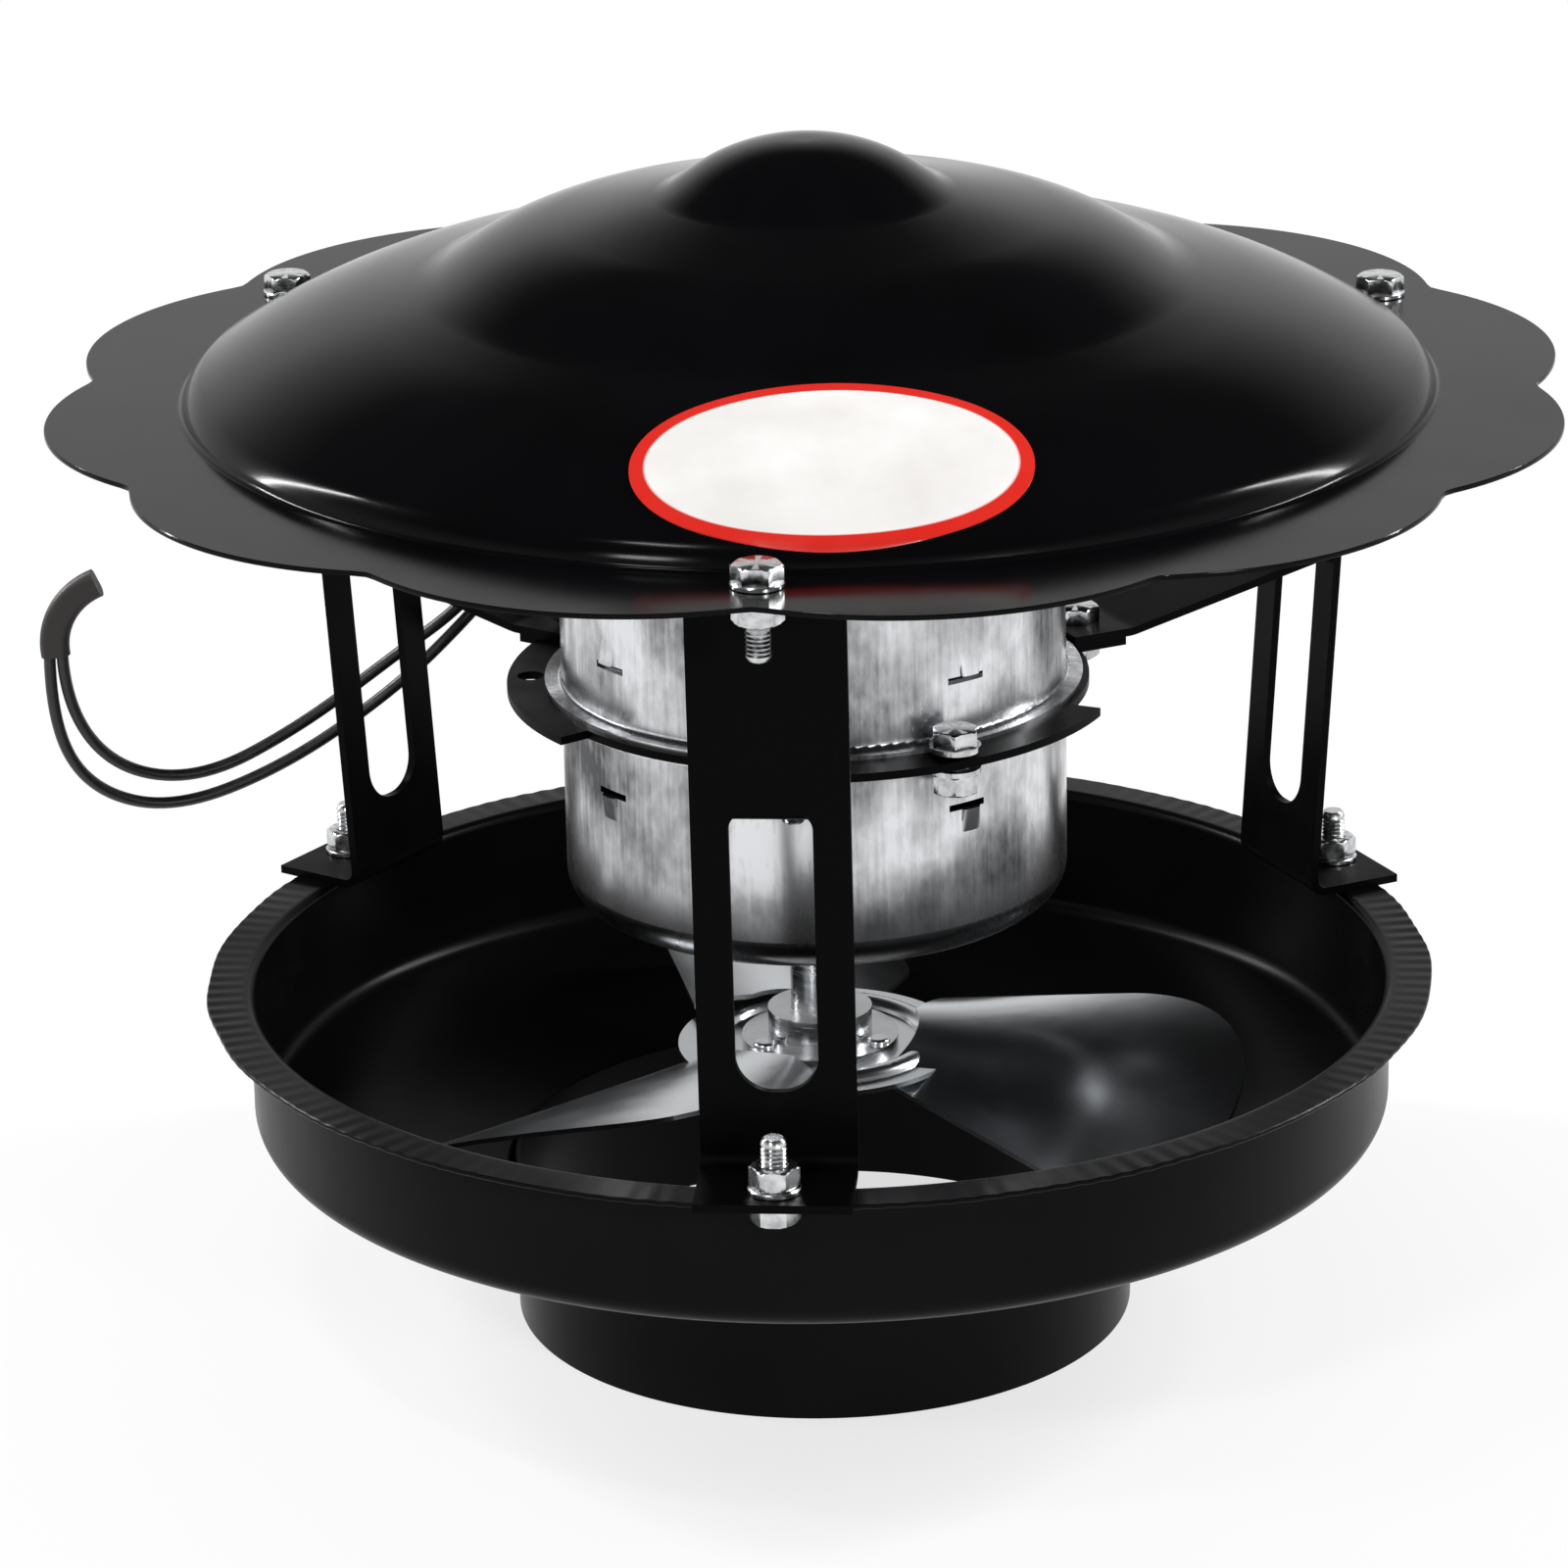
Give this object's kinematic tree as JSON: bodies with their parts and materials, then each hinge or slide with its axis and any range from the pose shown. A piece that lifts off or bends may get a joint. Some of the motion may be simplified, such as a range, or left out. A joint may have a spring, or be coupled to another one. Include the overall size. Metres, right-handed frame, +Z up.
{
  "type": "chimney exhaust fan",
  "caption": "Chimney exhaust fan: a scalloped domed rain cap on slotted legs over a base pan with a flue collar, and a motor-driven propeller between them.",
  "frame": {"origin": "centre of the flue collar's lower edge", "axes": "+Z up along the fan's axis, -Y towards the leg under the label"},
  "size_m": [0.3702, 0.3496, 0.2906],
  "materials": {
    "black_paint": "satin",
    "galvanised_steel": "mottled",
    "zinc_screws": "bright",
    "label_vinyl": "gloss",
    "black_rubber": "matte",
    "sleeve_rubber": "matte",
    "core_steel": "matte",
    "coil_copper": "gloss",
    "bronze_bush": "satin",
    "shaft_steel": "bright",
    "hub_steel": "bright",
    "fan_aluminium": "bright"
  },
  "bodies": {
    "housing": {"base_pan": "black_paint", "neck_collar": "black_paint", "cap": "black_paint", "front_leg": "black_paint", "right_leg": "black_paint", "left_leg": "black_paint", "front_arm": "black_paint", "right_arm": "black_paint", "left_arm": "black_paint", "motor_plate": "black_paint", "upper_can": "galvanised_steel", "lower_can": "galvanised_steel", "cap_bolts": "zinc_screws", "cap_washers": "zinc_screws", "cap_nuts": "zinc_screws", "foot_bolts": "zinc_screws", "foot_washers": "zinc_screws", "foot_nuts": "zinc_screws", "arm_bolts": "zinc_screws", "arm_nuts": "zinc_screws", "can_bolts": "zinc_screws", "can_washers": "zinc_screws", "can_nuts": "zinc_screws", "oval_label": "label_vinyl", "lead_grommet": "black_rubber", "stator_core": "core_steel", "stator_coils": "coil_copper", "upper_bearing": "bronze_bush", "lower_bearing": "bronze_bush", "inner_lead": "black_rubber", "outer_lead": "black_rubber", "lead_sleeve": "sleeve_rubber"},
    "rotor": {"motor_shaft": "shaft_steel", "rotor_core": "core_steel", "fan_hub": "hub_steel", "fan_blades": "fan_aluminium", "hub_rivets": "fan_aluminium", "set_screw": "shaft_steel"}
  },
  "joints": [
    {"name": "fan_spin", "type": "hinge", "parent": "housing", "child": "rotor", "pos_m": [0, 0, 0.065], "axis": [0, 0, 1], "continuous": true}
  ]
}
